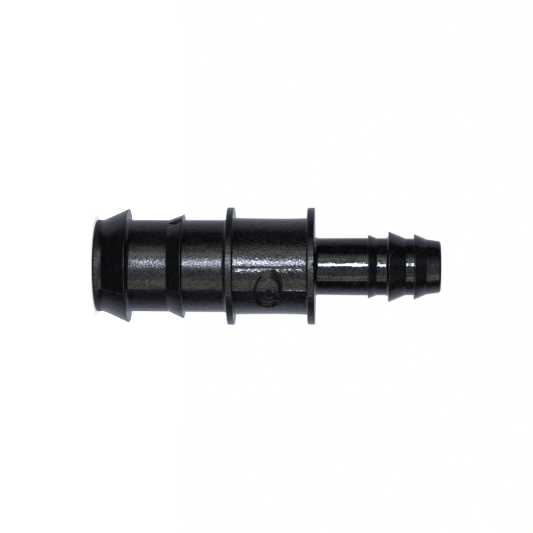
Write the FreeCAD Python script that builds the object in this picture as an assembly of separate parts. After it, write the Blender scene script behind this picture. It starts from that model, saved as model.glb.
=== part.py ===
# Hose barb reducer, moulded in one piece.
# A large barbed hose end, a collared barrel and a small barbed hose end share one axis, +Z.
# The origin is the centre of the large end's rim, and the part stands on that rim.
# All lengths are in millimetres and all angles in degrees about +Z from +X.
import FreeCAD, Part
import math
import os

# Hoses: the inside diameter of the hose that each end grips, and the wall behind it
LARGE_HOSE_BORE = 20.0
SMALL_HOSE_BORE = 12.5
LARGE_WALL = 2.0
SMALL_WALL = 2.05

# Large end, from its rim to the collar
LARGE_NOSE_LENGTH = 1.8
LARGE_NOSE_ROUND = 0.55
LARGE_BARB_LENGTH = 5.37
LARGE_BARB_RISE = 2.4
FRONT_GRIP_LENGTH = 8.68
REAR_BARB_LENGTH = 3.2
REAR_BARB_RISE = 1.4
REAR_GRIP_LENGTH = 9.55
LARGE_ROOT_BEVEL = 0.6

# Barrel between the two collars
BARREL_LENGTH = 15.87
BARREL_STEP = 0.5
BARREL_SINK = 0.13
COLLAR_STEP = 2.25
LARGE_COLLAR_THICKNESS = 1.45
LARGE_COLLAR_BEVEL = 0.2
SMALL_COLLAR_THICKNESS = 1.6
SMALL_COLLAR_ROUND = 0.4

# Small end, from its collar to its rim; each necking is how far the tube has drawn in under the hose bore
SMALL_GRIP_LENGTH = 11.58
SMALL_ROOT_NECKING = 0.1
SMALL_ROOT_BEVEL = 0.6
FIRST_BARB_RISE = 0.7
FIRST_BARB_LENGTH = 1.85
FIRST_NECKING = 0.05
FIRST_NECK_LENGTH = 2.55
MIDDLE_BARB_RISE = 1.5
MIDDLE_BARB_LENGTH = 3.7
MIDDLE_NECKING = 0.1
MIDDLE_NECK_LENGTH = 1.85
LAST_BARB_RISE = 1.0
LAST_BARB_LENGTH = 2.6
LAST_NECKING = 0.25
SMALL_NOSE_LENGTH = 3.15
SMALL_NOSE_TAPER = 8.3
SMALL_NOSE_ROUND = 0.5

# Bore: two straight holes that meet in a cone inside the barrel
THROAT_LENGTH = 6.5
THROAT_SETBACK = 8.0
MOUTH_BEVEL = 0.25

# Mould marks: the parting plane, the gate recess with its stub, and the marking notch in the rear barb
PARTING_ANGLE = -59.0
GATE_HALF_WIDTH = 3.1
GATE_HALF_LENGTH = 4.9
GATE_DEPTH = 0.42
GATE_SETBACK = 0.35
GATE_STUB_DIAMETER = 2.0
GATE_STUB_HEIGHT = 0.2
GATE_STUB_TURN = 5.4
NOTCH_WIDTH = 2.3
NOTCH_TURN = -92.0
INSERT_RELIEF = 0.27

# Radii that follow from the sizes above
large_shank_r = LARGE_HOSE_BORE / 2
small_hose_r = SMALL_HOSE_BORE / 2
large_bore_r = large_shank_r - LARGE_WALL
small_bore_r = small_hose_r - SMALL_WALL
barrel_r = large_shank_r + BARREL_STEP
collar_r = barrel_r + COLLAR_STEP
small_root_r = small_hose_r - SMALL_ROOT_NECKING
first_neck_r = small_hose_r - FIRST_NECKING
middle_neck_r = small_hose_r - MIDDLE_NECKING
last_neck_r = small_hose_r - LAST_NECKING
small_rim_r = last_neck_r - SMALL_NOSE_LENGTH * math.tan(math.radians(SMALL_NOSE_TAPER))

# Heights along the axis, each from the one before
large_cone_z = LARGE_NOSE_LENGTH
large_tip_z = large_cone_z + LARGE_BARB_LENGTH
rear_cone_z = large_tip_z + FRONT_GRIP_LENGTH
rear_tip_z = rear_cone_z + REAR_BARB_LENGTH
large_collar_z = rear_tip_z + REAR_GRIP_LENGTH
barrel_z = large_collar_z + LARGE_COLLAR_THICKNESS
small_collar_z = barrel_z + BARREL_LENGTH
small_root_z = small_collar_z + SMALL_COLLAR_THICKNESS
first_tip_z = small_root_z + SMALL_GRIP_LENGTH
first_neck_z = first_tip_z + FIRST_BARB_LENGTH
middle_tip_z = first_neck_z + FIRST_NECK_LENGTH
middle_neck_z = middle_tip_z + MIDDLE_BARB_LENGTH
last_tip_z = middle_neck_z + MIDDLE_NECK_LENGTH
last_neck_z = last_tip_z + LAST_BARB_LENGTH
small_rim_z = last_neck_z + SMALL_NOSE_LENGTH
throat_end_z = small_root_z - THROAT_SETBACK
throat_start_z = throat_end_z - THROAT_LENGTH
waist_z = barrel_z + BARREL_LENGTH / 2
gate_z = waist_z - GATE_SETBACK
gate_floor_r = barrel_r - BARREL_SINK - GATE_DEPTH

# Largest share of a side that the round of one of its corners may take
SIDE_SHARE = 0.45

AXIS = FreeCAD.Vector(0, 0, 1)
CENTRE = FreeCAD.Vector(0, 0, 0)


def profile_point(radius, height):
    """Return the point of the section plane at a radius and a height."""
    return FreeCAD.Vector(radius, 0, height)


def round_corner(before, corner, after, radius):
    """Return the start, middle and end of the arc that rounds a corner, held within its two sides."""
    to_before = before - corner
    to_after = after - corner
    half_angle = to_before.getAngle(to_after) / 2
    reach = radius / math.tan(half_angle)
    longest = SIDE_SHARE * min(to_before.Length, to_after.Length)
    if reach > longest:
        reach = longest
        radius = reach * math.tan(half_angle)
    to_before.normalize()
    to_after.normalize()
    towards_centre = to_before + to_after
    towards_centre.normalize()
    middle = corner + towards_centre * (radius / math.sin(half_angle) - radius)
    return corner + to_before * reach, middle, corner + to_after * reach


def section_face(corners):
    """Make a face of the section plane from (radius, height, corner round) triples, in order."""
    points = [profile_point(radius, height) for radius, height, _ in corners]
    edges = []
    starts = []
    ends = []
    for index, (_, _, rounding) in enumerate(corners):
        point = points[index]
        start = point
        end = point
        if rounding > 0:
            start, middle, end = round_corner(points[index - 1], point, points[(index + 1) % len(points)], rounding)
            edges.append(Part.Arc(start, middle, end).toShape())
        starts.append(start)
        ends.append(end)
    for index, end in enumerate(ends):
        edges.append(Part.LineSegment(end, starts[(index + 1) % len(starts)]).toShape())
    return Part.Face(Part.Wire(Part.__sortEdges__(edges)))


def turned(face, start_angle=0.0, sweep=360.0):
    """Revolve a section face about the axis, from one angle and through a sweep."""
    solid = face.revolve(CENTRE, AXIS, sweep)
    solid.rotate(CENTRE, AXIS, start_angle)
    return solid


def outer_body():
    """Make the outside of the whole fitting as one turned solid, without the rear barb."""
    return turned(section_face([
        (0, 0, 0),
        (large_shank_r, 0, LARGE_NOSE_ROUND),
        (large_shank_r, large_cone_z, 0),
        (large_shank_r + LARGE_BARB_RISE, large_tip_z, 0),
        (large_shank_r + LARGE_ROOT_BEVEL, large_tip_z, 0),
        (large_shank_r, large_tip_z + LARGE_ROOT_BEVEL, 0),
        (large_shank_r, large_collar_z - LARGE_ROOT_BEVEL, 0),
        (large_shank_r + LARGE_ROOT_BEVEL, large_collar_z, 0),
        (collar_r - LARGE_COLLAR_BEVEL, large_collar_z, 0),
        (collar_r, large_collar_z + LARGE_COLLAR_BEVEL, 0),
        (collar_r, barrel_z - LARGE_COLLAR_BEVEL, 0),
        (collar_r - LARGE_COLLAR_BEVEL, barrel_z, 0),
        (barrel_r, barrel_z, 0),
        (barrel_r, small_collar_z, 0),
        (collar_r, small_collar_z, SMALL_COLLAR_ROUND),
        (collar_r, small_root_z, 0),
        (small_root_r + SMALL_ROOT_BEVEL, small_root_z, 0),
        (small_root_r, small_root_z + SMALL_ROOT_BEVEL, 0),
        (small_hose_r, first_tip_z, 0),
        (small_hose_r + FIRST_BARB_RISE, first_tip_z, 0),
        (first_neck_r, first_neck_z, 0),
        (first_neck_r, middle_tip_z - SMALL_ROOT_BEVEL, 0),
        (first_neck_r + SMALL_ROOT_BEVEL, middle_tip_z, 0),
        (first_neck_r + MIDDLE_BARB_RISE, middle_tip_z, 0),
        (middle_neck_r, middle_neck_z, 0),
        (middle_neck_r, last_tip_z, 0),
        (middle_neck_r + LAST_BARB_RISE, last_tip_z, 0),
        (last_neck_r, last_neck_z, 0),
        (small_rim_r, small_rim_z, SMALL_NOSE_ROUND),
        (0, small_rim_z, 0),
    ]))


def barrel_sink():
    """Make the shallow waist that the barrel wall draws in to as it cools."""
    foot = profile_point(barrel_r, barrel_z)
    waist = profile_point(barrel_r - BARREL_SINK, waist_z)
    head = profile_point(barrel_r, small_collar_z)
    wire = Part.Wire([Part.Arc(foot, waist, head).toShape(), Part.LineSegment(head, foot).toShape()])
    return turned(Part.Face(wire))


def rear_barb_segment(rise, start_angle, sweep):
    """Make one arc of the rear barb, rooted in the wall, with its tip at a rise above the shank."""
    root_r = large_shank_r - LARGE_WALL / 2
    slope = REAR_BARB_LENGTH / REAR_BARB_RISE
    return turned(section_face([
        (root_r, rear_tip_z - rise * slope, 0),
        (large_shank_r, rear_tip_z - rise * slope, 0),
        (large_shank_r + rise, rear_tip_z, 0),
        (root_r, rear_tip_z, 0),
    ]), start_angle, sweep)


def rear_barb():
    """Make the rear barb: a full arc, a lower arc left by the mould insert, and the marking notch."""
    notch_angle = PARTING_ANGLE + NOTCH_TURN
    insert_end = PARTING_ANGLE - 180
    low_sweep = notch_angle - insert_end
    full = rear_barb_segment(REAR_BARB_RISE, notch_angle, 360 - low_sweep)
    low = rear_barb_segment(REAR_BARB_RISE - INSERT_RELIEF, insert_end, low_sweep)
    reach = 2 * large_shank_r
    notch = Part.makeBox(reach, NOTCH_WIDTH, REAR_BARB_LENGTH, FreeCAD.Vector(0, -NOTCH_WIDTH / 2, rear_cone_z))
    notch.rotate(CENTRE, AXIS, notch_angle)
    return full.fuse(low).cut(notch)


def bore():
    """Make the passage: the large hole, the cone of the throat and the small hole."""
    return turned(section_face([
        (0, 0, 0),
        (large_bore_r + MOUTH_BEVEL, 0, 0),
        (large_bore_r, MOUTH_BEVEL, 0),
        (large_bore_r, throat_start_z, 0),
        (small_bore_r, throat_end_z, 0),
        (small_bore_r, small_rim_z - MOUTH_BEVEL, 0),
        (small_bore_r + MOUTH_BEVEL, small_rim_z, 0),
        (0, small_rim_z, 0),
    ]))


def gate_recess():
    """Make the shallow pocket round the gate: an oval between two arcs, with its floor concentric with the barrel."""
    far_end = FreeCAD.Vector(0, -GATE_HALF_LENGTH, gate_z)
    near_end = FreeCAD.Vector(0, GATE_HALF_LENGTH, gate_z)
    sides = []
    for half_width in (GATE_HALF_WIDTH, -GATE_HALF_WIDTH):
        side = FreeCAD.Vector(0, 0, gate_z + half_width)
        sides.append(Part.Arc(far_end, side, near_end).toShape())
    oval = Part.Face(Part.Wire(sides)).extrude(FreeCAD.Vector(collar_r, 0, 0))
    core = Part.makeCylinder(gate_floor_r, BARREL_LENGTH, FreeCAD.Vector(0, 0, barrel_z))
    oval = oval.cut(core)
    oval.rotate(CENTRE, AXIS, PARTING_ANGLE)
    return oval


def gate_stub():
    """Make the stub that is left in the recess where the gate was broken off."""
    rooted_r = (gate_floor_r + large_bore_r) / 2
    length = gate_floor_r + GATE_STUB_HEIGHT - rooted_r
    start = FreeCAD.Vector(rooted_r, 0, gate_z)
    stub = Part.makeCylinder(GATE_STUB_DIAMETER / 2, length, start, FreeCAD.Vector(1, 0, 0))
    stub.rotate(CENTRE, AXIS, PARTING_ANGLE + GATE_STUB_TURN)
    return stub


def reducer_body():
    """Make the finished fitting as one solid."""
    body = outer_body().cut(barrel_sink())
    body = body.fuse(rear_barb())
    body = body.cut(gate_recess()).fuse(gate_stub())
    body = body.cut(bore())
    return body.removeSplitter()


os.makedirs("parts", exist_ok=True)
shape = reducer_body()
shape.exportStep("parts/reducer_body.step")
box = shape.BoundBox
print("solids", len(shape.Solids), "valid", shape.isValid(), "volume", round(shape.Volume, 1))
print("box", [round(value, 3) for value in (box.XMin, box.YMin, box.ZMin, box.XMax, box.YMax, box.ZMax)])
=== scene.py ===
"""Hose barb reducer in black moulded plastic: its finished look, its studio and its camera.

All sizes in the classes are in millimetres and degrees. Meshes are in metres, in the same frame as the
solids: +Z runs up the common axis of the bores, and the origin is the centre of the large end's rim.
"""
import logging
import math
from dataclasses import dataclass, field
from enum import Enum
from typing import Any

import bpy
import numpy as np
from mathutils import Matrix, Vector


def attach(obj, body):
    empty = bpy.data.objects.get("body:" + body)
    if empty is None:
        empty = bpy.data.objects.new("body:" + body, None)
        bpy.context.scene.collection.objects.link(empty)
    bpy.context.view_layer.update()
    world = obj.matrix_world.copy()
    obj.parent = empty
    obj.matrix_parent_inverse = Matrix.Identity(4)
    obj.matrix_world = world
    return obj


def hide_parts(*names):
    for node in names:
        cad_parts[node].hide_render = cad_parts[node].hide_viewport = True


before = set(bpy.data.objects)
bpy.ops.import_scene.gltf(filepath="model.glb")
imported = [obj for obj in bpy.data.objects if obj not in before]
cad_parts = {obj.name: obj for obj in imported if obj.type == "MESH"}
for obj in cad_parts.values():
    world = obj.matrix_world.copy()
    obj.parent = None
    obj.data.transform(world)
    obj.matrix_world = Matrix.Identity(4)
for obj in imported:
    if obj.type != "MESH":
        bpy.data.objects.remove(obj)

MM = 0.001
PLASTIC_IOR = 1.49
SWEEP_TINT = "#e4e9ff"
# The scratches run askew to the axis, 0.28 mm wide and 5 mm long; the real ones are finer and would not show.
SCRATCH_SLANT = (0.0, math.radians(-52), 0.0)
SCRATCH_SIZE_MM = (0.28, 3.0, 5.0)
# Stretch of each noise's values that a look is spread over. Scratches are only the very tops of theirs.
NOISE_SPAN = (0.3, 0.7)
PIT_SPAN = (0.35, 0.65)
SCRATCH_SPAN = (0.71, 0.77)

log = logging.getLogger("hose_barb_reducer")


def hex_to_linear(colour: str) -> tuple[float, float, float, float]:
    """Turn an sRGB hex colour into linear light.

    Args:
        colour: Six hex digits with a leading hash.

    Returns:
        Red, green, blue and an alpha of one, in linear light.
    """
    values = [int(colour[place:place + 2], 16) / 255 for place in (1, 3, 5)]
    linear = [value / 12.92 if value <= 0.04045 else ((value + 0.055) / 1.055) ** 2.4 for value in values]
    return linear[0], linear[1], linear[2], 1.0


def add_node(
    tree: bpy.types.NodeTree,
    kind: str,
    settings: dict[str, Any] | None = None,
    inputs: dict[str | int, Any] | None = None,
) -> bpy.types.Node:
    """Add one node to a tree with its settings, its values and its links.

    Args:
        tree: The tree that the node joins.
        kind: Blender's identifier of the node.
        settings: Properties of the node by name.
        inputs: Sockets by name or place, each with a value or with the socket that feeds it.

    Returns:
        The new node.
    """
    node = tree.nodes.new(kind)
    for name, value in (settings or {}).items():
        setattr(node, name, value)
    for key, value in (inputs or {}).items():
        if isinstance(value, bpy.types.NodeSocket):
            tree.links.new(value, node.inputs[key])
        else:
            node.inputs[key].default_value = value
    return node


def add_object(name: str, data: bpy.types.ID) -> bpy.types.Object:
    """Add an object that shows some data to the scene."""
    shown = bpy.data.objects.new(name, data)
    bpy.context.scene.collection.objects.link(shown)
    return shown


@dataclass(frozen=True)
class MouldedPlastic:
    """Black polypropylene as it leaves the mould.

    Attributes:
        name: Name of the material, after how its surface was made.
        colour: sRGB hex colour of the pigmented plastic.
        roughness: Microscopic roughness of the surface.
        roughness_spread: How far the roughness wanders from place to place.
        grain_mm: Width of one grain of the mould's surface.
        grain_depth_mm: Height of that grain.
        pit_shade: How much less light the grain's pits send back than its tops do.
        ripple_mm: Width of the slow ripple left by uneven cooling.
        ripple_depth_mm: Height of that ripple.
        draw_stretch: How much longer along the axis than across it the drag marks are.
        draw_depth_mm: Height of the drag marks left as the part slid out of its mould.
        gloss: Share of the mirrored light that gets out of the grain, 0.5 for all of it.
        dust_and_pit_shade_share: How much paler the dust on the grain's tops is than the plastic, and how
            much darker its
        pits are painted, which is painted shade.
        scratch_paleness: How many times paler than the plastic the fine slanting scratches are.
        drag_grains: Width of one drag mark, in grains.
    """

    name: str
    colour: str
    roughness: float
    roughness_spread: float = 0.02
    grain_mm: float = 0.36
    grain_depth_mm: float = 0.044
    pit_shade: float = 0.24
    ripple_mm: float = 4.0
    ripple_depth_mm: float = 0.012
    draw_stretch: float = 10.0
    draw_depth_mm: float = 0.002
    gloss: float = 0.5
    dust_and_pit_shade_share: float = 0.5
    scratch_paleness: float = 0.0
    drag_grains: float = 2.5

    def build(self) -> bpy.types.Material:
        """Make the node material of this finish.

        Returns:
            The material, with its patterns on the object's own coordinates.
        """
        material = bpy.data.materials.new(self.name)
        material.use_nodes = True
        tree = material.node_tree
        tree.nodes.clear()
        metres = add_node(tree, "ShaderNodeTexCoord").outputs["Object"]
        place = add_node(tree, "ShaderNodeVectorMath", {"operation": "SCALE"}, {
            0: metres, "Scale": 1 / MM,
        }).outputs["Vector"]
        drawn = add_node(tree, "ShaderNodeMapping", {"vector_type": "POINT"}, {
            "Vector": place, "Scale": (1.0, 1.0, 1 / self.draw_stretch),
        }).outputs["Vector"]
        slanted = add_node(tree, "ShaderNodeMapping", {"vector_type": "TEXTURE"}, {
            "Vector": place, "Rotation": SCRATCH_SLANT, "Scale": SCRATCH_SIZE_MM,
        }).outputs["Vector"]
        ripple, drag, grain, streaks = (
            add_node(tree, "ShaderNodeTexNoise", inputs={
                "Vector": way, "Scale": 1 / width, "Detail": detail, "Roughness": fineness,
            }).outputs["Fac"]
            for way, width, detail, fineness in (
                (place, self.ripple_mm, 1.0, 0.4), (drawn, self.drag_grains * self.grain_mm, 3.0, 0.5),
                (place, self.grain_mm, 0.0, 0.5), (slanted, 1.0, 0.0, 0.5),
            )
        )
        relief: dict[str, Any] = {"Strength": 1.0}
        for height, depth in (
            (ripple, self.ripple_depth_mm), (drag, self.draw_depth_mm), (grain, self.grain_depth_mm),
        ):
            relief |= {"Distance": depth * MM, "Height": height}
            relief["Normal"] = add_node(tree, "ShaderNodeBump", inputs=relief).outputs["Normal"]
        pits = add_node(tree, "ShaderNodeMix", {"data_type": "FLOAT"}, {"Factor": 0.5, "A": grain, "B": drag})
        roughness, mirrored, dust_and_pit_shade, scratched = (
            add_node(tree, "ShaderNodeMapRange", inputs={
                "Value": value, "From Min": span[0], "From Max": span[1],
                "To Min": middle - spread, "To Max": middle + spread,
            }).outputs["Result"]
            for value, span, middle, spread in (
                (ripple, NOISE_SPAN, self.roughness, self.roughness_spread),
                (pits.outputs["Result"], PIT_SPAN, self.gloss, self.pit_shade),
                (grain, NOISE_SPAN, 1, self.dust_and_pit_shade_share),
                (streaks, SCRATCH_SPAN, self.scratch_paleness / 2, self.scratch_paleness / 2),
            )
        )
        # The colour is paler on the grain's tops, from dust, and darker in its pits, which is painted shade.
        paleness = add_node(tree, "ShaderNodeMath", {"operation": "ADD"}, {0: dust_and_pit_shade, 1: scratched})
        pigment = add_node(tree, "ShaderNodeVectorMath", {"operation": "SCALE"}, {
            0: hex_to_linear(self.colour)[:3], "Scale": paleness.outputs["Value"],
        })
        shader = add_node(tree, "ShaderNodeBsdfPrincipled", inputs={
            "Base Color": pigment.outputs["Vector"], "Roughness": roughness, "Specular IOR Level": mirrored,
            "IOR": PLASTIC_IOR, "Normal": relief["Normal"],
        })
        add_node(tree, "ShaderNodeOutputMaterial", inputs={"Surface": shader.outputs["BSDF"]})
        return material


class Finish(Enum):
    """The finishes, by what gave them to each stretch of the surface: the mould's steel, or wear."""

    # Polypropylene against blasted steel: the collars' rims, where the highlight spreads into a grey haze.
    BLASTED = MouldedPlastic(
        name="polypropylene_moulded_on_blasted_steel", colour="#0c0c0f",
        roughness=0.3, roughness_spread=0.03, pit_shade=0.18, draw_stretch=6.0, gloss=0.44,
    )
    # Polypropylene of the nose, scuffed by handling: the palest and dullest stretch, hardly a dark band left.
    SCUFFED = MouldedPlastic(
        name="polypropylene_scuffed_by_handling", colour="#131317",
        roughness=0.4, roughness_spread=0.05, pit_shade=0.2, draw_stretch=6.0, gloss=0.48, dust_and_pit_shade_share=0.8,
    )
    # Polypropylene against coarsely spark-eroded steel: an even grain, sparkling in a soft, wide highlight.
    # The real grain is about 0.08 mm. Here and on the other finishes it is drawn four to five times as
    # coarse, so that it shows at this size.
    COARSE_ERODED = MouldedPlastic(
        name="polypropylene_moulded_on_coarse_eroded_steel", colour="#0b0b0e",
        roughness=0.23, grain_depth_mm=0.026, ripple_mm=5.0, ripple_depth_mm=0.05, gloss=0.49,
        dust_and_pit_shade_share=0.72,
    )
    # Polypropylene against finely spark-eroded steel: brighter and tighter, still with a sparkling edge.
    FINE_ERODED = MouldedPlastic(
        name="polypropylene_moulded_on_fine_eroded_steel", colour="#0d0d10",
        roughness=0.19, grain_depth_mm=0.038, ripple_mm=5.0, ripple_depth_mm=0.04, dust_and_pit_shade_share=0.7,
    )
    # Polypropylene against turned and stoned steel: darker and cleaner, with a firm highlight on the cones.
    STONED = MouldedPlastic(
        name="polypropylene_moulded_on_stoned_steel", colour="#0a0a0c",
        roughness=0.18, grain_mm=0.4, grain_depth_mm=0.018, pit_shade=0.16, ripple_depth_mm=0.01,
        dust_and_pit_shade_share=0.42, scratch_paleness=1.8,
    )
    # Polypropylene against polished steel: a narrow mirror-like streak, broken by faint lines along the axis.
    POLISHED = MouldedPlastic(
        name="polypropylene_moulded_on_polished_steel", colour="#09090b",
        roughness=0.05, roughness_spread=0.01, grain_mm=0.35, grain_depth_mm=0.008, ripple_mm=2.5,
        ripple_depth_mm=0.07, draw_stretch=7.0, draw_depth_mm=0.035, gloss=0.46, dust_and_pit_shade_share=0.25,
        scratch_paleness=4.5,
    )
    # Polypropylene torn where the runner broke off: no highlight of its own, only dark and light crumbs.
    TORN_OFF = MouldedPlastic(
        name="polypropylene_torn_from_its_runner", colour="#0c0c0e",
        roughness=0.45, roughness_spread=0.05, grain_mm=0.3, grain_depth_mm=0.12, pit_shade=0.14,
        ripple_mm=2.0, ripple_depth_mm=0.02, draw_stretch=2.0, draw_depth_mm=0.01, gloss=0.15,
    )


@dataclass(frozen=True)
class Corner:
    """One corner of the section, in the order up the outside and down the bore.

    Attributes:
        radius: Distance from the axis.
        height: Height above the large rim.
        rounding: Radius of the corner's round or fillet.
        finish: Finish of the stretch that runs from this corner to the next.
        step: Longest row spacing on that stretch.
        sag: How far that stretch bows towards the axis.
        sag_share: Where on the stretch the bow is deepest, as a share of its length.
    """

    radius: float
    height: float
    rounding: float
    finish: Finish
    step: float = 1.2
    sag: float = 0.0
    sag_share: float = 0.5


@dataclass
class Section:
    """The closed section of the fitting, as rows of points for turning.

    Attributes:
        corners: Its corners in order.
        arc_steps: Rows across each corner's round.
        guard: Distance from a round to the row that keeps the flat beside it flat.
        guarded_from: Shortest flat that gets such rows, in guards.
        round_share: Most of a side that one round may take up.
    """

    corners: list[Corner]
    arc_steps: int = 3
    guard: float = 0.07
    guarded_from: float = 2.5
    round_share: float = 0.4
    points: list[tuple[float, float]] = field(default_factory=list)
    finishes: list[Finish] = field(default_factory=list)

    def rounded(self, index: int) -> list[np.ndarray]:
        """Give the points of one corner's round.

        Args:
            index: Place of the corner in the section.

        Returns:
            Points from the start of the round to its end.
        """
        here = self.corners[index]
        corner = np.array([here.radius, here.height])
        sides = []
        for other in (self.corners[index - 1], self.corners[(index + 1) % len(self.corners)]):
            side = np.array([other.radius, other.height]) - corner
            length = np.linalg.norm(side)
            sides.append((side / length, length))
        (to_before, before_length), (to_after, after_length) = sides
        half_angle = math.acos(float(np.clip(to_before @ to_after, -1, 1))) / 2
        longest = self.round_share * min(before_length, after_length)
        reach = min(here.rounding / math.tan(half_angle), longest)
        radius = reach * math.tan(half_angle)
        towards = (to_before + to_after) / np.linalg.norm(to_before + to_after)
        centre = corner + towards * radius / math.sin(half_angle)
        start = corner + to_before * reach - centre
        end = corner + to_after * reach - centre
        turn = math.atan2(start[0] * end[1] - start[1] * end[0], start @ end)
        points = []
        for part in np.linspace(0, turn, self.arc_steps + 1):
            turned = (start[0] * math.cos(part) - start[1] * math.sin(part),
                      start[0] * math.sin(part) + start[1] * math.cos(part))
            points.append(centre + np.array(turned))
        return points

    def lay_out(self) -> None:
        """Fill in the rows of the section and the finish that starts at each."""
        rounds = [self.rounded(index) for index in range(len(self.corners))]
        for index, corner in enumerate(self.corners):
            for point in rounds[index]:
                self.points.append((float(point[0]), float(point[1])))
                self.finishes.append(corner.finish)
            start = rounds[index][-1]
            end = rounds[(index + 1) % len(rounds)][0]
            length = float(np.linalg.norm(end - start))
            if length < self.guarded_from * self.guard:
                continue
            count = 2 + int((length - 2 * self.guard) / corner.step)
            for distance in np.linspace(self.guard, length - self.guard, count):
                part = distance / length
                point = start + (end - start) * part
                reach = corner.sag_share if part < corner.sag_share else 1 - corner.sag_share
                sunk = corner.sag * (1 - ((part - corner.sag_share) / reach) ** 2)
                self.points.append((float(point[0]) - sunk, float(point[1])))
                self.finishes.append(corner.finish)


@dataclass
class TurningTree:
    """The rule of the main piece: a closed section carried round the axis through given stations."""

    name: str = "section_turned_about_axis"

    def build(self) -> bpy.types.NodeTree:
        """Build the Geometry Nodes tree with its named inputs.

        Returns:
            The tree, which turns the section through the stations.
        """
        tree = bpy.data.node_groups.new(self.name, "GeometryNodeTree")
        for label, way, kind in (
            ("Section", "INPUT", "Geometry"), ("Stations", "INPUT", "Object"), ("Unit", "INPUT", "Float"),
            ("Plastic", "INPUT", "Material"), ("Turned", "OUTPUT", "Geometry"),
        ):
            tree.interface.new_socket(label, in_out=way, socket_type="NodeSocket" + kind)
        given = add_node(tree, "NodeGroupInput").outputs
        here = add_node(tree, "GeometryNodeInputPosition").outputs["Position"]
        split = add_node(tree, "ShaderNodeSeparateXYZ", inputs={"Vector": here}).outputs
        row = add_node(tree, "GeometryNodeInputIndex").outputs["Index"]

        ring = add_node(tree, "GeometryNodeObjectInfo", {"transform_space": "ORIGINAL"}, {
            "Object": given["Stations"],
        }).outputs["Geometry"]
        angle = add_node(tree, "ShaderNodeMath", {"operation": "ARCTAN2"}, {0: split["Y"], 1: split["X"]})
        curves = []
        for loop, saved in (
            (given["Section"], {"section_radius": split["X"], "section_height": split["Z"], "row": row}),
            (ring, {"turn": angle.outputs["Value"]}),
        ):
            for label, value in saved.items():
                settings = {"data_type": "INT" if label == "row" else "FLOAT", "domain": "POINT"}
                loop = add_node(tree, "GeometryNodeStoreNamedAttribute", settings, {
                    "Geometry": loop, "Name": label, "Value": value,
                }).outputs["Geometry"]
            curves.append(add_node(tree, "GeometryNodeMeshToCurve", inputs={"Mesh": loop}).outputs["Curve"])
        body = add_node(tree, "GeometryNodeCurveToMesh", inputs={
            "Curve": curves[1], "Profile Curve": curves[0],
        })

        radius, height, turn = (
            add_node(tree, "GeometryNodeInputNamedAttribute", {"data_type": "FLOAT"}, {
                "Name": label,
            }).outputs["Attribute"]
            for label in ("section_radius", "section_height", "turn")
        )
        across = []
        for wave in ("COSINE", "SINE"):
            part = add_node(tree, "ShaderNodeMath", {"operation": wave}, {0: turn}).outputs["Value"]
            across.append(add_node(tree, "ShaderNodeMath", {"operation": "MULTIPLY"}, {
                0: part, 1: radius,
            }).outputs["Value"])
        target = add_node(tree, "ShaderNodeCombineXYZ", inputs={
            "X": across[0], "Y": across[1], "Z": height,
        })
        scaled = add_node(tree, "ShaderNodeVectorMath", {"operation": "SCALE"}, {
            0: target.outputs["Vector"], "Scale": given["Unit"],
        })
        placed = add_node(tree, "GeometryNodeSetPosition", inputs={
            "Geometry": body.outputs["Mesh"], "Position": scaled.outputs["Vector"],
        })
        whole = placed
        for kind in ("GeometryNodeSetShadeSmooth", "GeometryNodeRealizeInstances"):
            whole = add_node(tree, kind, inputs={"Geometry": whole.outputs["Geometry"]})
        dressed = add_node(tree, "GeometryNodeSetMaterial", inputs={
            "Geometry": whole.outputs["Geometry"], "Material": given["Plastic"],
        })
        add_node(tree, "NodeGroupOutput", inputs={"Turned": dressed.outputs["Geometry"]})
        return tree


def fall(distance: np.ndarray, width: float | np.ndarray) -> np.ndarray:
    """Give a share that is one at no distance and falls evenly to none at a width."""
    return np.clip(1 - distance / width, 0, 1)


@dataclass(frozen=True)
class TurnedForm:
    """The vertices of the turned form, before the mould's marks are pressed into it.

    Attributes:
        radius: Distance of each vertex from the axis, in millimetres.
        height: Its height above the large rim, in millimetres.
        turn: Its angle about +Z, in radians.
    """

    radius: np.ndarray
    height: np.ndarray
    turn: np.ndarray

    def turn_past(self, angle: float) -> np.ndarray:
        """Give how far each vertex lies past an angle, in degrees between 0 and 360."""
        return (np.degrees(self.turn) - angle) % 360

    def turn_from(self, angle: float) -> np.ndarray:
        """Give each vertex's turn from an angle, in degrees between -180 and 180."""
        return (np.degrees(self.turn) - angle + 180) % 360 - 180

    def arc_from(self, angle: float, radius: float | np.ndarray) -> np.ndarray:
        """Give each vertex's distance from an angle, in millimetres round the part at a radius."""
        return np.radians(self.turn_from(angle)) * radius


@dataclass(frozen=True)
class Wander:
    """How a mark's strength wanders along the part: a mean, and a quick wave times a slow one."""

    mean: float
    swing: float
    quick: float
    slow: float
    offset: float

    def at(self, height: np.ndarray) -> np.ndarray:
        """Give the strength at each height."""
        return self.mean + self.swing * np.sin(height * self.quick) * np.sin(height * self.slow + self.offset)


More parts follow.
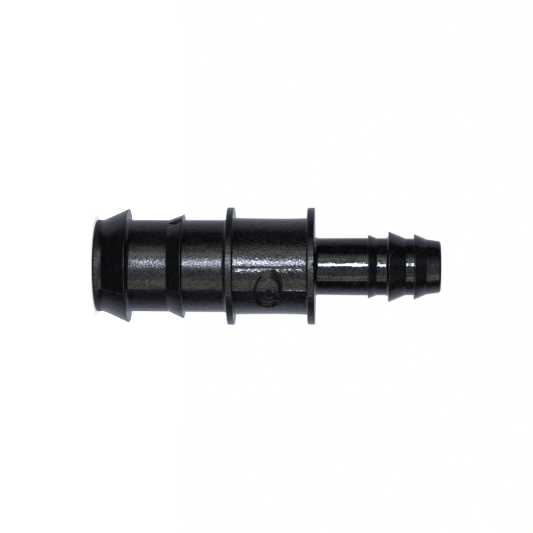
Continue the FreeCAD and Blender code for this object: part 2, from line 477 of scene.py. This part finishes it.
@dataclass
class MouldMarks:
    """What the mould leaves on the turned form: its parting line, gate, notch and small faults.

    Angles are about +Z from +X, and heights are above the large rim. Places in the gate's pocket count from
    its middle in half sizes: along it is round the barrel, and across it is up the barrel. Each method that
    cuts or raises a mark takes the form and the radii so far, and gives the new radii.
    """

    # The form that the marks lie on.
    shank_radius: float = 10.0
    rear_barb_start: float = 15.85
    rear_barb_end: float = 19.05
    rear_barb_rise: float = 1.4
    barrel_start: float = 30.05
    barrel_end: float = 45.92
    barrel_radius: float = 10.5
    barrel_sunk: float = 0.5
    barrel_over: float = 0.02
    collar_reach: float = 2.0
    collar_rise: float = 0.1
    skin: float = 0.05
    # The parting line: a flash whose share of its height differs with the surface, and a low roof beside it.
    parting_angle: float = -60.3
    far_line_share: float = 0.6
    flash_start: float = 0.6
    flash_end: float = 74.2
    flash_height: float = 0.06
    flash_width: float = 0.13
    collar_flash: float = 2.0
    barrel_flash: float = 1.4
    low_barrel_share: float = 0.7
    cone_flash: float = 0.65
    shank_flash: float = 0.05
    flash_wander: Wander = Wander(0.85, 0.15, 2.7, 0.61, 1.0)
    roof_height: float = 0.045
    roof_width: float = 1.0
    shank_roof: float = 0.6
    # The gate's pocket, with its four walls of different slopes and the low ridge inside it.
    pocket_angle: float = -59.1
    pocket_height: float = 37.65
    pocket_half_length: float = 5.1
    pocket_half_width: float = 3.07
    pocket_depth: float = 0.42
    left_point: float = 1.5
    right_point: float = 2.2
    left_wall: float = 0.19
    right_wall: float = 0.28
    far_wall: float = 0.19
    far_start: float = 0.6
    near_wall: float = 0.34
    near_half: float = 0.34
    near_offset: float = 0.06
    near_blend: float = 0.12
    near_end: float = 0.4
    blend: float = 0.2
    rim_share: float = 0.57
    rim_height: float = 0.055
    rim_width: float = 0.06
    rim_end: float = 0.3
    # The scar beside the stub, and the stub with its crumbs.
    scar_share: float = 0.6
    scar_thinning: float = 0.35
    scar_thins_from: float = 0.55
    scar_edge: float = 1.12
    scar_side: float = 0.22
    scar_end: float = 0.12
    stub_angle: float = -53.6
    stub_height_z: float = 37.85
    stub_diameter: float = 2.0
    stub_stretch: float = 1.4
    stub_height: float = 0.12
    stub_shoulder: float = 0.15
    stub_crumb: float = 0.05
    crumb_seed: int = 7
    # The witness line along the barrel: a groove with a dark and a light side, and a broad shoulder.
    witness_angle: float = -87.1
    witness_depth: float = 0.056
    shoulder_depth: float = 0.028
    shoulder_width: float = 1.9
    witness_fades_from: float = 0.5
    witness_fade: float = 0.3
    witness_spread: float = 0.6
    witness_dark_width: float = 0.5
    witness_light_width: float = 1.05
    witness_end: float = 0.6
    witness_wander: Wander = Wander(1.0, 0.12, 2.9, 1.1, 0.5)
    # The notch and the insert's lower arc in the rear barb, and the nick in the small collar's edge.
    insert_relief: float = 0.27
    notch_angle: float = -151.0
    notch_half_angle: float = 6.15
    notch_floor: float = 0.02
    nick_angle: float = -92.0
    nick_height: float = 47.5
    nick_size: float = 0.32
    nick_share: float = 0.5
    nick_rise: float = 1.0
    bore_limit: float = 5.4
    # The offset of the mould's lower half, seen in both collars, and how far it takes the small one in.
    half_shift: float = 0.13
    half_shrink: float = 0.12
    half_edge: float = 1.0
    half_rise: float = 2.0

    def on_barrel(self, form: TurnedForm) -> np.ndarray:
        """Tell which vertices are on the barrel, between the collars."""
        inside = (form.height > self.barrel_start) & (form.height < self.barrel_end)
        inside &= form.radius > self.barrel_radius - self.barrel_sunk
        return inside & (form.radius < self.barrel_radius + self.barrel_over)

    def on_collar(self, form: TurnedForm) -> np.ndarray:
        """Tell which vertices are on one of the collars."""
        inside = form.height > self.barrel_start - self.collar_reach
        inside &= form.height < self.barrel_end + self.collar_reach
        return inside & (form.radius > self.barrel_radius + self.collar_rise)

    def low_half(self, form: TurnedForm) -> np.ndarray:
        """Give one for vertices made by the mould's lower half, and none for the upper, with a short edge."""
        past_parting = form.turn_past(self.parting_angle)
        return np.clip(np.minimum(past_parting, 180 - past_parting) / self.half_edge, 0, 1)

    def from_stub(self, form: TurnedForm) -> np.ndarray:
        """Give each vertex's distance from the middle of the runner's stub, the stub taken as round."""
        along = form.arc_from(self.stub_angle, self.barrel_radius)
        return np.hypot(along / self.stub_stretch, form.height - self.stub_height_z)

    def pocket_reach(self, form: TurnedForm) -> tuple[np.ndarray, np.ndarray, np.ndarray]:
        """Give each vertex's reach from the middle of the gate's pocket.

        Args:
            form: The turned form.

        Returns:
            Place along and across the pocket, in half sizes, and the reach, which is one at its edge.
        """
        along = form.arc_from(self.pocket_angle, self.barrel_radius) / self.pocket_half_length
        across = (form.height - self.pocket_height) / self.pocket_half_width
        point = np.where((along < 0) & (across < 0), self.left_point, self.right_point)
        return along, across, (np.abs(along) ** point + np.abs(across) ** point) ** (1 / point)

    def in_pocket(self, form: TurnedForm) -> np.ndarray:
        """Tell which vertices are in the gate's pocket."""
        return self.on_barrel(form) & (self.pocket_reach(form)[2] < 1)

    def is_torn(self, form: TurnedForm) -> np.ndarray:
        """Tell which vertices are torn: the runner's stub, and the scar where it was bent over."""
        along, across, reach = self.pocket_reach(form)
        thinned = self.scar_thinning * np.clip(along + self.scar_thins_from, 0, 1)
        scar = (reach > self.scar_share + thinned) & (reach < self.scar_edge)
        scar &= (across > self.scar_side) & (along < -self.scar_end) & (along > -1)
        return scar | (self.from_stub(form) < self.stub_diameter / 2)

    def cut_rear_barb(self, form: TurnedForm, marked: np.ndarray) -> np.ndarray:
        """Lower the arc of the rear barb that the mould's insert made, and cut the notch to the shank."""
        low_sweep = (self.parting_angle + 180 - self.notch_angle) % 360
        low_share = 1 - self.insert_relief / self.rear_barb_rise
        share = np.where(form.turn_past(self.notch_angle) > low_sweep, low_share, 1.0)
        in_notch = np.abs(form.turn_from(self.notch_angle)) < self.notch_half_angle
        share = np.where(in_notch, self.notch_floor, share)
        on_barb = (form.height >= self.rear_barb_start) & (form.height <= self.rear_barb_end)
        on_barb &= form.radius > self.shank_radius
        return np.where(on_barb, self.shank_radius + (form.radius - self.shank_radius) * share, marked)

    def cut_witness(self, form: TurnedForm, marked: np.ndarray) -> np.ndarray:
        """Cut the witness line and its broad shoulder along the barrel, fading past the pocket."""
        from_line = form.arc_from(self.witness_angle, self.barrel_radius)
        past_pocket = np.clip(self.pocket_reach(form)[1] - self.witness_fades_from, 0, 1)
        dark_width = self.witness_dark_width * (1 + self.witness_spread * past_pocket)
        fading = 1 - self.witness_fade * past_pocket
        groove = np.zeros(len(marked))
        for depth, width in ((self.witness_depth, dark_width), (self.shoulder_depth, self.shoulder_width)):
            side = np.where(from_line < 0, width, self.witness_light_width)
            groove += depth * fading * fall(np.abs(from_line), side)
        groove *= self.witness_wander.at(form.height)
        from_end = np.minimum(form.height - self.barrel_start, self.barrel_end - form.height)
        groove *= np.clip(from_end / self.witness_end, 0, 1)
        return np.where(self.on_barrel(form) & ~self.in_pocket(form), marked - groove, marked)

    def cut_pocket(self, form: TurnedForm, marked: np.ndarray) -> np.ndarray:
        """Cut the gate's pocket, with its walls of different slopes and the low ridge inside it."""
        along, across, reach = self.pocket_reach(form)
        lean = np.clip(0.5 + across, 0, 1)
        wall = self.left_wall + (self.right_wall - self.left_wall) * lean
        wall = np.where(along > self.far_start, self.far_wall, wall)
        near = np.clip((self.near_half - np.abs(across + self.near_offset)) / self.near_blend, 0, 1)
        near *= np.clip((-self.near_end - along) / self.blend, 0, 1)
        wall = wall + (self.near_wall - wall) * near
        sunk = self.pocket_depth * np.clip((1 - reach) / wall, 0, 1)
        rim = self.rim_height * np.exp(-((reach - self.rim_share) / self.rim_width) ** 2)
        sunk -= rim * np.clip((self.rim_end - along) / self.blend, 0, 1)
        return np.where(self.on_barrel(form), marked - sunk, marked)

    def raise_stub(self, form: TurnedForm, marked: np.ndarray) -> np.ndarray:
        """Raise the stub of the runner in the pocket, rough where it broke."""
        draws = np.random.default_rng(self.crumb_seed)
        crumbs = draws.uniform(-self.stub_crumb, self.stub_crumb, len(marked))
        inside = self.stub_diameter / 2 - self.from_stub(form)
        shoulder = np.clip(inside / self.stub_shoulder, 0, 1)
        return np.where(self.on_barrel(form), marked + shoulder * (self.stub_height + crumbs), marked)

    def raise_parting_lines(self, form: TurnedForm, marked: np.ndarray) -> np.ndarray:
        """Raise both parting lines on the outside: a thin flash, and a low roof beside it.

        Args:
            form: The turned form.
            marked: The radii so far.

        Returns:
            The new radii. The flash differs with the surface, and leaves out the pocket.
        """
        on_barrel = self.on_barrel(form)
        wander = self.flash_wander.at(form.height)
        wander = np.where(form.height < self.pocket_height, self.low_barrel_share * wander, wander)
        share = np.select([self.on_collar(form), on_barrel, form.radius > self.shank_radius + self.skin],
                          [self.collar_flash, self.barrel_flash * wander, self.cone_flash], self.shank_flash)
        roof_share = np.where(form.radius > self.shank_radius - self.skin, self.shank_roof, 0.0)
        roof_share = np.where(on_barrel, 1.0, roof_share)
        lined = (form.height > self.flash_start) & (form.height < self.flash_end)
        lined &= (form.radius > self.bore_limit) & ~self.in_pocket(form)
        for angle, strength in ((self.parting_angle, 1.0), (self.parting_angle + 180, self.far_line_share)):
            from_line = np.abs(form.arc_from(angle, form.radius))
            roof = fall(from_line, self.roof_width) * self.roof_height * roof_share
            flash = fall(from_line, self.flash_width) * self.flash_height * share * strength
            marked = np.where(lined, marked + roof + flash, marked)
        return marked

    def cut_nick(self, form: TurnedForm, marked: np.ndarray) -> np.ndarray:
        """Cut the nick into the small collar's edge."""
        away = np.hypot(form.arc_from(self.nick_angle, form.radius), form.height - self.nick_height)
        bite = fall(away, self.nick_size) * self.nick_share * self.nick_size
        return np.where(form.radius > self.barrel_radius + self.nick_rise, marked - bite, marked)

    def cut_low_half(self, form: TurnedForm, marked: np.ndarray) -> np.ndarray:
        """Take the small collar in where the mould's lower half made it."""
        on_small_collar = self.on_collar(form) & (form.height > self.pocket_height)
        rise = np.clip((form.radius - self.barrel_radius) / self.half_rise, 0, 1)
        return np.where(on_small_collar, marked - self.half_shrink * self.low_half(form) * rise, marked)

    def press(self, form: TurnedForm) -> tuple[np.ndarray, np.ndarray]:
        """Press all the marks into the form.

        Args:
            form: The turned form.

        Returns:
            The new radii and the new heights.
        """
        marked = form.radius
        for press_mark in (
            self.cut_rear_barb, self.cut_witness, self.cut_pocket, self.raise_stub,
            self.raise_parting_lines, self.cut_nick, self.cut_low_half,
        ):
            marked = press_mark(form, marked)
        shifted = form.height + self.half_shift * self.low_half(form)
        return marked, np.where(self.on_collar(form), shifted, form.height)


@dataclass
class ReducerBody:
    """The fitting itself: two barbed hose ends and a collared barrel, moulded in one piece.

    Radii, heights and rounds are in millimetres, from the same named sizes as the solid.

    Attributes:
        materials: The material of each finish.
    """

    materials: dict[Finish, bpy.types.Material]
    large_bore: float = 8.0
    large_shank: float = 10.0
    large_rim_round: float = 0.55
    mouth_round: float = 0.3
    nose_end: float = 1.8
    front_tip: tuple[float, float] = (12.4, 7.17)
    rear_start: float = 15.85
    rear_tip: tuple[float, float] = (11.4, 19.05)
    large_collar: float = 28.6
    barrel_start: float = 30.05
    barrel: float = 10.5
    barrel_sink: float = 0.13
    barrel_sink_share: float = 0.64
    collar: float = 12.75
    large_collar_round: float = 0.16
    small_collar: float = 45.92
    small_collar_round: float = 0.4
    small_root: tuple[float, float] = (6.15, 47.52)
    small_hose: float = 6.25
    first_tip: tuple[float, float] = (6.95, 59.1)
    first_neck: tuple[float, float] = (6.2, 60.95)
    middle_tip: tuple[float, float] = (7.7, 63.5)
    middle_neck: tuple[float, float] = (6.15, 67.2)
    last_tip: tuple[float, float] = (7.15, 69.05)
    last_neck: tuple[float, float] = (6.0, 71.65)
    small_rim: tuple[float, float] = (5.54, 74.8)
    small_rim_round: float = 0.5
    small_bore: float = 4.2
    throat_start: float = 33.02
    throat_end: float = 39.52
    tip_round: float = 0.1
    tip_land: float = 0.16
    root_fillet: float = 0.12
    broad_fillet: float = 0.8
    nose_fillet: float = 2.4
    rear_fillet: float = 0.3
    gate_row_step: float = 0.18
    collar_row_step: float = 0.14
    bore_row_step: float = 3.0
    skin_depth: float = 1.0
    marks: MouldMarks = field(default_factory=MouldMarks)

    def section(self) -> Section:
        """Give the closed section, up the outside and down the bore.

        Returns:
            The section with its rows laid out.
        """
        blasted, coarse, fine = Finish.BLASTED, Finish.COARSE_ERODED, Finish.FINE_ERODED
        stoned, polished = Finish.STONED, Finish.POLISHED
        tip, root, mouth = self.tip_round, self.root_fillet, self.mouth_round
        section = Section([
            Corner(self.large_bore, 0, mouth, coarse),
            Corner(self.large_shank, 0, self.large_rim_round, Finish.SCUFFED),
            Corner(self.large_shank, self.nose_end, self.nose_fillet, stoned, step=0.8),
            Corner(self.front_tip[0], self.front_tip[1] - self.tip_land, tip, blasted),
            Corner(*self.front_tip, tip, coarse),
            Corner(self.large_shank, self.front_tip[1], self.broad_fillet, coarse),
            Corner(self.large_shank, self.rear_start, root, stoned, step=0.5),
            Corner(self.rear_tip[0], self.rear_tip[1] - self.tip_land, tip, blasted),
            Corner(*self.rear_tip, tip, coarse, step=0.4),
            Corner(self.large_shank, self.rear_tip[1], self.rear_fillet, coarse),
            Corner(self.large_shank, self.large_collar, self.broad_fillet, fine),
            Corner(self.collar, self.large_collar, self.large_collar_round, blasted),
            Corner(self.collar, self.barrel_start, self.large_collar_round, fine),
            Corner(self.barrel, self.barrel_start, root, fine, self.gate_row_step,
                   self.barrel_sink, self.barrel_sink_share),
            Corner(self.barrel, self.small_collar, root, fine),
            Corner(self.collar, self.small_collar, self.small_collar_round, blasted, self.collar_row_step),
            Corner(self.collar, self.small_root[1], tip, fine),
            Corner(*self.small_root, self.broad_fillet, polished),
            Corner(self.small_hose, self.first_tip[1], tip, stoned),
            Corner(*self.first_tip, tip, stoned),
            Corner(*self.first_neck, root, polished),
            Corner(self.first_neck[0], self.middle_tip[1], self.broad_fillet, stoned),
            Corner(*self.middle_tip, tip, stoned),
            Corner(*self.middle_neck, root, polished),
            Corner(self.middle_neck[0], self.last_tip[1], root, stoned),
            Corner(*self.last_tip, tip, stoned),
            Corner(*self.last_neck, root, stoned),
            Corner(*self.small_rim, self.small_rim_round, polished),
            Corner(self.small_bore, self.small_rim[1], mouth, polished, self.bore_row_step),
            Corner(self.small_bore, self.throat_end, mouth, polished, self.bore_row_step),
            Corner(self.large_bore, self.throat_start, mouth, polished, self.bore_row_step),
        ])
        section.lay_out()
        log.info("section rows: %d", len(section.points))
        return section

    def stations(self) -> list[float]:
        """Give the angles of the columns, close together at the gate, the parting lines and the notch.

        Returns:
            Angles in degrees, once round from the parting line that is opposite the gate.
        """
        marks = self.marks
        notch = [marks.notch_angle + side * marks.notch_half_angle for side in (-1, 1)]
        opposite = marks.parting_angle - 180
        # Each band of columns by the angle where it ends and its columns' spacing, in degrees.
        bands = (
            (opposite + 1, 0.25), (notch[0] - 0.2, 2.5), (notch[0] + 0.2, 0.2), (notch[1] - 0.2, 1.2),
            (notch[1] + 0.2, 0.2), (marks.nick_angle - 8, 2.0), (marks.parting_angle - 1, 0.5),
            (marks.parting_angle + 1, 0.125), (marks.parting_angle + 32, 0.56), (opposite + 359, 2.5),
            (opposite + 360, 0.25),
        )
        angles = []
        start = opposite
        for end, step in bands:
            count = max(1, round((end - start) / step))
            angles += [start + (end - start) * place / count for place in range(count)]
            start = end
        return angles

    def loop_object(self, name: str, points: list[tuple[float, float, float]]) -> bpy.types.Object:
        """Make a helper object that is one closed loop of edges.

        Args:
            name: Name of the helper.
            points: The points of the loop, in millimetres.

        Returns:
            The helper, linked to the scene.
        """
        mesh = bpy.data.meshes.new(name)
        mesh.from_pydata(points, [(place, (place + 1) % len(points)) for place in range(len(points))], [])
        return add_object(name, mesh)

    def turn(self, section: Section) -> bpy.types.Mesh:
        """Turn the section about the axis with Geometry Nodes.

        Args:
            section: The laid out section.

        Returns:
            A plain mesh in metres that keeps each vertex's row.
        """
        source = self.loop_object("section_loop", [
            (radius, 0.0, height) for radius, height in section.points
        ])
        ring = self.loop_object("station_loop", [
            (math.cos(math.radians(angle)), math.sin(math.radians(angle)), 0.0) for angle in self.stations()
        ])
        turning = source.modifiers.new("turning", "NODES")
        turning.node_group = TurningTree().build()
        identifiers = {item.name: item.identifier for item in turning.node_group.interface.items_tree}
        turning[identifiers["Stations"]] = ring
        turning[identifiers["Unit"]] = MM
        turning[identifiers["Plastic"]] = self.materials[Finish.COARSE_ERODED]
        depsgraph = bpy.context.evaluated_depsgraph_get()
        depsgraph.update()
        mesh = bpy.data.meshes.new_from_object(source.evaluated_get(depsgraph))
        for helper in (source, ring):
            bpy.data.objects.remove(helper)
        return mesh

    def mark(self, mesh: bpy.types.Mesh) -> np.ndarray:
        """Press the mould's marks into the outside of the turned mesh.

        Args:
            mesh: The turned mesh, in metres.

        Returns:
            Whether each vertex is on the runner's stub or the scar beside it.
        """
        places = np.zeros(len(mesh.vertices) * 3)
        mesh.vertices.foreach_get("co", places)
        places = places.reshape(-1, 3) / MM
        form = TurnedForm(
            radius=np.hypot(places[:, 0], places[:, 1]), height=places[:, 2].copy(),
            turn=np.arctan2(places[:, 1], places[:, 0]),
        )
        marked, places[:, 2] = self.marks.press(form)
        places[:, 0] = marked * np.cos(form.turn)
        places[:, 1] = marked * np.sin(form.turn)
        mesh.vertices.foreach_set("co", (places * MM).ravel())
        mesh.update()
        outside = form.radius > self.barrel - self.skin_depth
        return outside & self.marks.is_torn(form)

    def dress(self, mesh: bpy.types.Mesh, section: Section, torn: np.ndarray) -> None:
        """Give each face the material of the stretch of the section that it was turned from.

        Args:
            mesh: The turned mesh with its row attribute.
            section: The section that it was turned from.
            torn: Whether each vertex is on the runner's stub or the scar beside it.
        """
        mesh.materials.clear()
        order = {}
        for place, finish in enumerate(Finish):
            mesh.materials.append(self.materials[finish])
            order[finish] = place
        rows = np.zeros(len(mesh.vertices), dtype=np.int32)
        mesh.attributes["row"].data.foreach_get("value", rows)
        corners = np.zeros(len(mesh.loops), dtype=np.int32)
        mesh.loops.foreach_get("vertex_index", corners)
        face_rows = rows[corners].reshape(-1, 4)
        low = face_rows.min(axis=1)
        wraps = face_rows.max(axis=1) - low > 1
        low = np.where(wraps, len(section.points) - 1, low)
        slots = np.array([order[finish] for finish in section.finishes], dtype=np.int32)
        slot = np.where(torn[corners].reshape(-1, 4).all(axis=1), order[Finish.TORN_OFF], slots[low])
        mesh.polygons.foreach_set("material_index", slot.astype(np.int32))

    def build(self) -> bpy.types.Object:
        """Make the finished fitting.

        Returns:
            The fitting as one object that stands for its solid.
        """
        section = self.section()
        mesh = self.turn(section)
        torn = self.mark(mesh)
        self.dress(mesh, section, torn)
        for label in ("section_radius", "section_height", "row", "turn"):
            if label in mesh.attributes:
                mesh.attributes.remove(mesh.attributes[label])
        piece = add_object("reducer_body_moulded", mesh)
        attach(piece, "root")
        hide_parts("reducer_body")
        log.info("%s: %d faces", piece.name, len(mesh.polygons))
        return piece


@dataclass(frozen=True)
class RoomBand:
    """What the plastic mirrors at one turn about the axis.

    Attributes:
        turn: Degrees from the camera's side, positive towards +X.
        light: Radiance there, where the plain background is one.
        colour: sRGB hex tint of that light.
    """

    turn: float
    light: float
    colour: str = "#ffffff"


@dataclass
class Studio:
    """A white sweep behind the part, a dim soft panel in front of it, and two soft boxes.

    Attributes:
        centre_height: Height that the boxes are set out from.
        light_scale: The brightest radiance that the room's colour ramp has to hold.
        key_turn: Turn of the key box from the camera's side.
        key_low: Angle of the key box's low end, seen from the part's middle; key_high is its high end.
        key_lean: How far the key box is turned in its own plane.
        panel_lean: How far the panel's upper edge comes down towards -X, as a share.
        ceiling_share: What is left of the room's light above the panel.
        floor_edge: Upward parts of the directions between which the room starts; the panel ends within
            ceiling_edge, the sweep starts within sweep_edge and ends within pole_edge.
        room: The panel, the gaps beside it and the sweep, by turn about the axis.
    """

    centre_height: float = 37.4
    light_scale: float = 4.0
    key_turn: float = -6.8
    key_distance: float = 900.0
    key_width: float = 9.6
    key_low: float = -6.3
    key_high: float = 3.9
    key_radiance: float = 40.0
    key_lean: float = 12.0
    key_colour: str = "#e6eeff"
    top_height: float = 1700.0
    top_size: float = 1200.0
    top_radiance: float = 8.0
    panel_lean: float = 0.25
    ceiling_share: float = 0.08
    floor_edge: tuple[float, float] = (-0.64, -0.5)
    ceiling_edge: tuple[float, float] = (0.22, 0.42)
    sweep_edge: tuple[float, float] = (-0.1, 0.05)
    pole_edge: tuple[float, float] = (0.75, 0.92)
    floor_radius: float = 250.0
    floor_corners: int = 64
    floor_glow: float = 0.6
    room: tuple[RoomBand, ...] = tuple(RoomBand(*band) for band in (
        (-180, 0.7, SWEEP_TINT), (-160, 0.72, SWEEP_TINT), (-122, 0.6, SWEEP_TINT), (-108, 0.5, SWEEP_TINT),
        (-100, 0.36, SWEEP_TINT), (-93, 0.03), (-56, 0.03), (-48, 0.36), (-40, 1.0, "#f0f4ff"), (-32, 1.25),
        (-29, 3.4, "#fff6dc"), (-26, 1.35), (-16, 2.1, "#e4eeff"), (0, 1.1, "#d8e6ff"), (12, 1.0, "#cfe0ff"),
        (20, 0.68), (30, 0.75), (39, 0.95, "#fff4dc"), (42.5, 3.3, "#ffefcc"), (46, 0.62), (49, 0.72),
        (55, 1.6, "#f4f7ff"), (59, 1.45, "#f0f4ff"), (64.5, 0.06), (76, 0.03), (90, 0.07),
        (97, 0.22, SWEEP_TINT), (108, 0.56, SWEEP_TINT), (120, 0.8, SWEEP_TINT), (146, 0.95, SWEEP_TINT),
        (162, 0.85, SWEEP_TINT), (180, 0.7, SWEEP_TINT),
    ))

    def soft_box(
        self, name: str, place: Vector, target: Vector, size: tuple[float, float], radiance: float,
        colour: str = "#ffffff",
    ) -> bpy.types.Object:
        """Add one rectangular soft box.

        Args:
            name: Name of the light.
            place: Its centre, in millimetres.
            target: The point that it faces, in millimetres.
            size: Its width and height, in millimetres; the height runs nearest to the part's axis.
            radiance: Its brightness, where the plain background is one.
            colour: sRGB hex colour of its light.

        Returns:
            The lamp.
        """
        light = bpy.data.lights.new(name, "AREA")
        light.shape = "RECTANGLE"
        light.size, light.size_y = size[0] * MM, size[1] * MM
        light.energy = radiance * math.pi * light.size * light.size_y
        light.color = hex_to_linear(colour)[:3]
        lamp = add_object(name, light)
        lamp.location = place * MM
        lamp.rotation_euler = (place - target).to_track_quat("Z", "Y").to_euler()
        return lamp

    def lights(self) -> None:
        """Add the narrow key box beside the camera, and the wide box over the floor."""
        centre = Vector((0, 0, self.centre_height))
        turn = math.radians(self.key_turn)
        low, high = (
            math.tan(math.radians(angle)) * self.key_distance for angle in (self.key_low, self.key_high)
        )
        place = centre + Vector((math.sin(turn), -math.cos(turn), 0)) * self.key_distance
        place.z += (low + high) / 2
        across = 2 * math.tan(math.radians(self.key_width / 2)) * self.key_distance
        key = self.soft_box(
            "key_soft_box", place, Vector((0, 0, place.z)), (across, high - low), self.key_radiance,
            self.key_colour,
        )
        key.rotation_euler.rotate_axis("Z", math.radians(self.key_lean))
        above = Vector((0, 0, self.top_height))
        top = self.soft_box("top_soft_box", above, centre, (self.top_size,) * 2, self.top_radiance)
        top.visible_glossy = False

    def world(self) -> None:
        """Make the room that the plastic mirrors and the plain white that the camera sees."""
        world = bpy.data.worlds.new("white_sweep_and_dim_panel")
        world.use_nodes = True
        tree = world.node_tree
        tree.nodes.clear()
        way = add_node(tree, "ShaderNodeTexCoord").outputs["Generated"]
        part = add_node(tree, "ShaderNodeSeparateXYZ", inputs={"Vector": way}).outputs
        ahead = add_node(tree, "ShaderNodeMath", {"operation": "MULTIPLY"}, {0: part["Y"], 1: -1.0})
        turn = add_node(tree, "ShaderNodeMath", {"operation": "ARCTAN2"}, {
            0: part["X"], 1: ahead.outputs["Value"],
        })
        share = add_node(tree, "ShaderNodeMapRange", inputs={
            "Value": turn.outputs["Value"], "From Min": -math.pi, "From Max": math.pi,
        })
        ramp = add_node(tree, "ShaderNodeValToRGB", inputs={"Fac": share.outputs["Result"]})
        stops = ramp.color_ramp.elements
        for place, band in enumerate(self.room):
            position = (band.turn + 180) / 360
            stop = stops[place] if place < 2 else stops.new(position)
            stop.position = position
            tint = hex_to_linear(band.colour)
            stop.color = [value * band.light / self.light_scale for value in tint[:3]] + [1.0]
        lean = add_node(tree, "ShaderNodeMath", {"operation": "MULTIPLY_ADD"}, {
            0: part["X"], 1: -self.panel_lean, 2: part["Z"],
        }).outputs["Value"]
        steep = add_node(tree, "ShaderNodeMath", {"operation": "ABSOLUTE"}, {0: part["Z"]}).outputs["Value"]
        over_floor, under_ceiling, behind, level = (
            add_node(tree, "ShaderNodeMapRange", {"interpolation_type": curve}, {
                "Value": value, "From Min": edge[0], "From Max": edge[1], "To Min": before, "To Max": past,
            }).outputs["Result"]
            for value, edge, curve, before, past in (
                (part["Z"], self.floor_edge, "SMOOTHSTEP", 0.0, 1.0),
                (lean, self.ceiling_edge, "SMOOTHSTEP", 1.0, self.ceiling_share),
                (part["Y"], self.sweep_edge, "LINEAR", 0.0, 1.0),
                (steep, self.pole_edge, "SMOOTHSTEP", 1.0, 0.0),
            )
        )
        window, sweep = (
            add_node(tree, "ShaderNodeMath", {"operation": "MULTIPLY"}, {0: one, 1: other}).outputs["Value"]
            for one, other in ((over_floor, under_ceiling), (behind, level))
        )
        open_share = add_node(tree, "ShaderNodeMath", {"operation": "MAXIMUM"}, {
            0: window, 1: sweep,
        })
        strength = add_node(tree, "ShaderNodeMath", {"operation": "MULTIPLY"}, {
            0: open_share.outputs["Value"], 1: self.light_scale,
        })
        room = add_node(tree, "ShaderNodeBackground", inputs={
            "Color": ramp.outputs["Color"], "Strength": strength.outputs["Value"],
        })
        plain = add_node(tree, "ShaderNodeBackground", inputs={
            "Color": hex_to_linear("#ffffff"), "Strength": 1.0,
        })
        seen = add_node(tree, "ShaderNodeLightPath").outputs["Is Camera Ray"]
        mixed = add_node(tree, "ShaderNodeMixShader", inputs={
            0: seen, 1: room.outputs["Background"], 2: plain.outputs["Background"],
        })
        add_node(tree, "ShaderNodeOutputWorld", inputs={"Surface": mixed.outputs["Shader"]})
        bpy.context.scene.world = world

    def floor(self) -> None:
        """Add the plain pale floor that the part stands on, a light table of opal acrylic."""
        places = range(self.floor_corners)
        turns = [math.tau * place / self.floor_corners for place in places]
        radius = self.floor_radius * MM
        ring = [(radius * math.cos(turn), radius * math.sin(turn), 0.0) for turn in turns]
        mesh = bpy.data.meshes.new("pale_floor")
        mesh.from_pydata(ring, [], [tuple(places)])
        material = bpy.data.materials.new("opal_acrylic_light_table")
        material.use_nodes = True
        shader = material.node_tree.nodes["Principled BSDF"]
        for socket, value in (
            ("Base Color", hex_to_linear("#f2f2f0")), ("Roughness", 0.9), ("Specular IOR Level", 0.0),
            ("Emission Color", hex_to_linear("#ffffff")), ("Emission Strength", self.floor_glow),
        ):
            shader.inputs[socket].default_value = value
        mesh.materials.append(material)
        floor = add_object("pale_floor", mesh)
        floor.visible_glossy = False

    def build(self) -> None:
        """Set up the room, the lights and the floor."""
        self.world()
        self.lights()
        self.floor()
        view = bpy.context.scene.view_settings
        view.view_transform = "Standard"
        view.look = "None"
        log.info("studio: %d bands of light", len(self.room))


@dataclass
class PhotoCamera:
    """The camera of the photograph, rolled a quarter turn, so that +Z runs to the right.

    Attributes:
        distance: From the part's axis, in millimetres.
        square_height: Height of the point that the lens faces squarely.
        aim_height: Height of the point in the middle of the frame.
        axis_rise: How far the part's axis lies above the middle of the frame.
        tilt: How far the part's axis drops to the right, in degrees.
        field_of_view: Angle across the frame, in degrees.
        clip_start: Nearest distance that the camera sees, in metres.
    """

    distance: float = 475.0
    square_height: float = 55.3
    aim_height: float = 37.06
    axis_rise: float = 0.05
    tilt: float = 0.24
    field_of_view: float = 13.9
    sensor: float = 36.0
    clip_start: float = 0.01

    def build(self) -> None:
        """Add the camera and make it the scene's own."""
        data = bpy.data.cameras.new("photo_camera")
        data.sensor_width = self.sensor
        data.lens = self.sensor / 2 / math.tan(math.radians(self.field_of_view / 2))
        data.clip_start = self.clip_start
        place = Vector((self.axis_rise, -self.distance, self.square_height))
        target = Vector((self.axis_rise, 0, self.aim_height))
        ahead = (target - place).normalized()
        up = Vector((-1, 0, 0))
        right = ahead.cross(up)
        turn = Matrix((right, up, -ahead)).transposed() @ Matrix.Rotation(math.radians(self.tilt), 3, "Z")
        camera = add_object("photo_camera", data)
        camera.matrix_world = Matrix.Translation(place * MM) @ turn.to_4x4()
        bpy.context.scene.camera = camera
        log.info("camera: %.1f mm lens, %.0f mm away", data.lens, self.distance)


def main() -> None:
    """Build the fitting, the studio and the camera."""
    logging.basicConfig(level=logging.INFO, format="%(name)s: %(message)s")
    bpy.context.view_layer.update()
    ReducerBody({finish: finish.value.build() for finish in Finish}).build()
    Studio().build()
    PhotoCamera().build()


if __name__ == "__main__":
    main()
